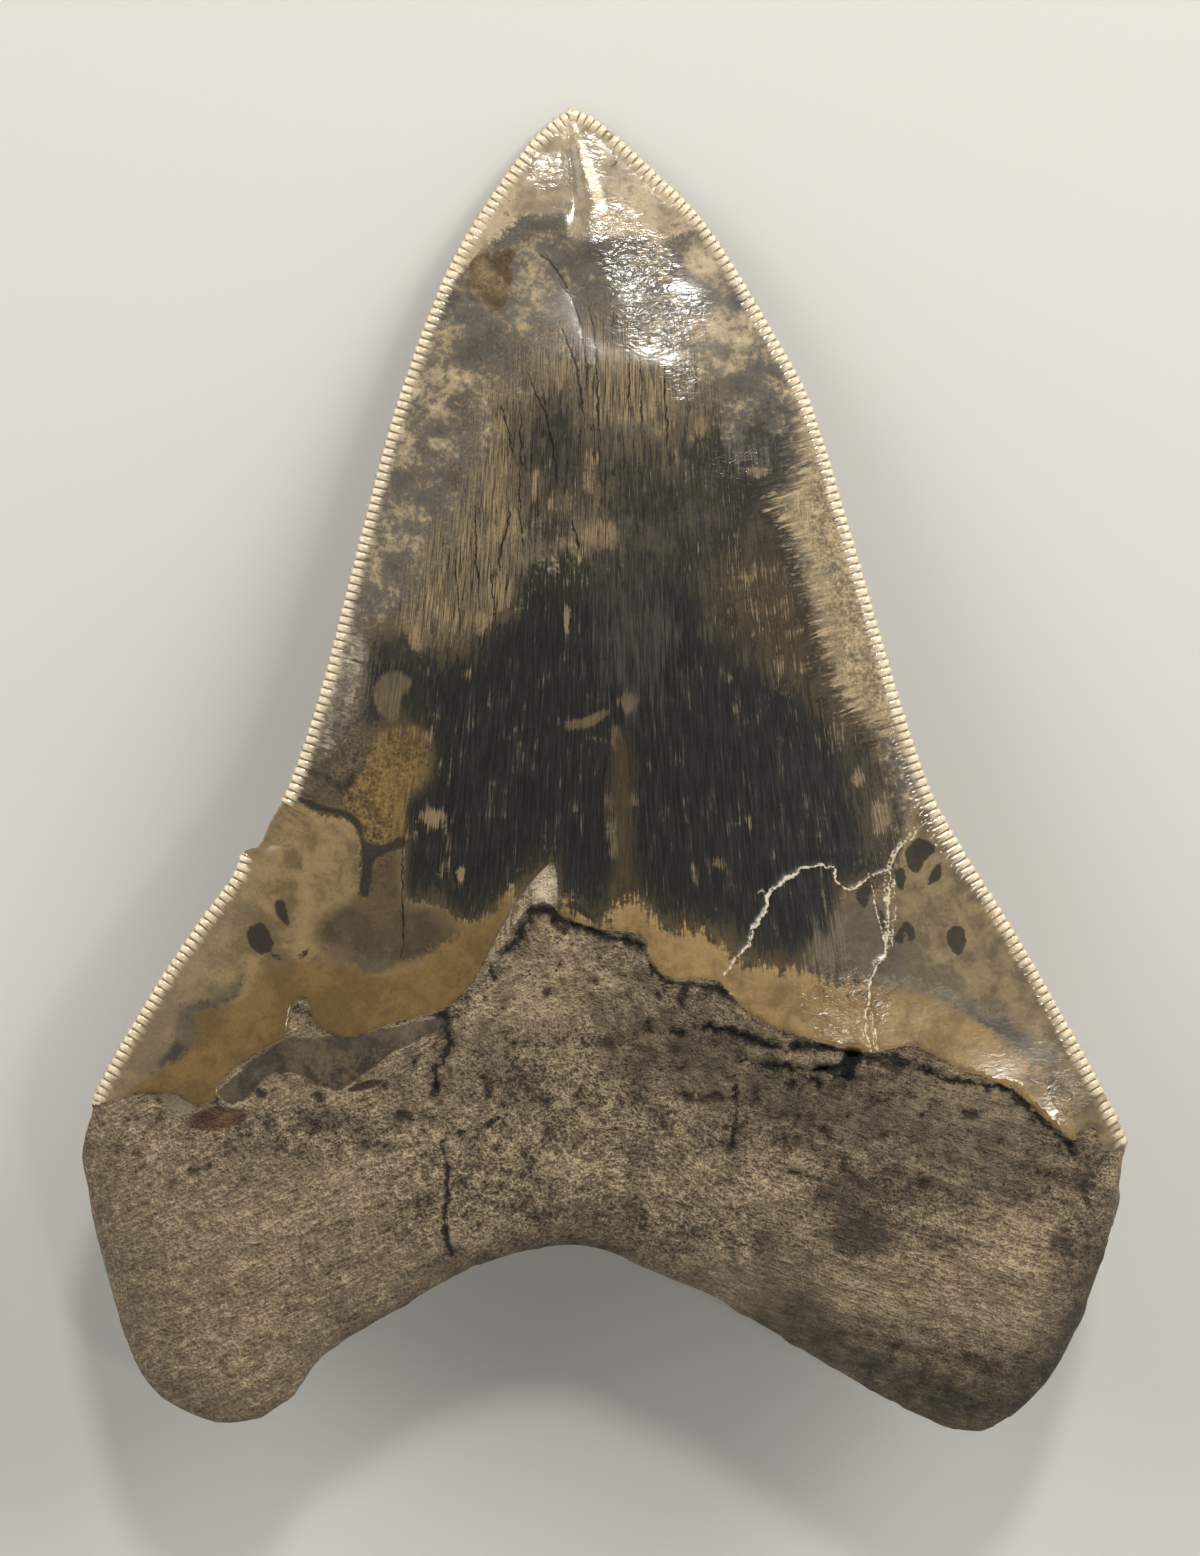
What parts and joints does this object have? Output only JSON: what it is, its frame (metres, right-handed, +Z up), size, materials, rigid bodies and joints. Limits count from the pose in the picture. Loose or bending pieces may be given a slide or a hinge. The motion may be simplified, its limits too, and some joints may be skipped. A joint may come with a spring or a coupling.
{
  "type": "fossil shark tooth",
  "caption": "Large triangular fossil shark tooth with serrated cutting edges, a smooth mottled crown and a rough two-lobed root, lying front face up as a display specimen.",
  "frame": {"origin": "centre of the bounding box's base, on the surface the tooth rests on", "axes": "+Y from the root towards the crown's tip, +Z up out of the front face, +X to the right as seen from the front with the tip away"},
  "size_m": [0.1, 0.1258, 0.0276],
  "materials": {
    "fossil_tooth": "glossy mottled grey, charcoal and ochre enamel on the crown; matte sandy grey-tan root"
  },
  "bodies": {
    "root": {"tooth": "fossil_tooth"}
  },
  "joints": []
}
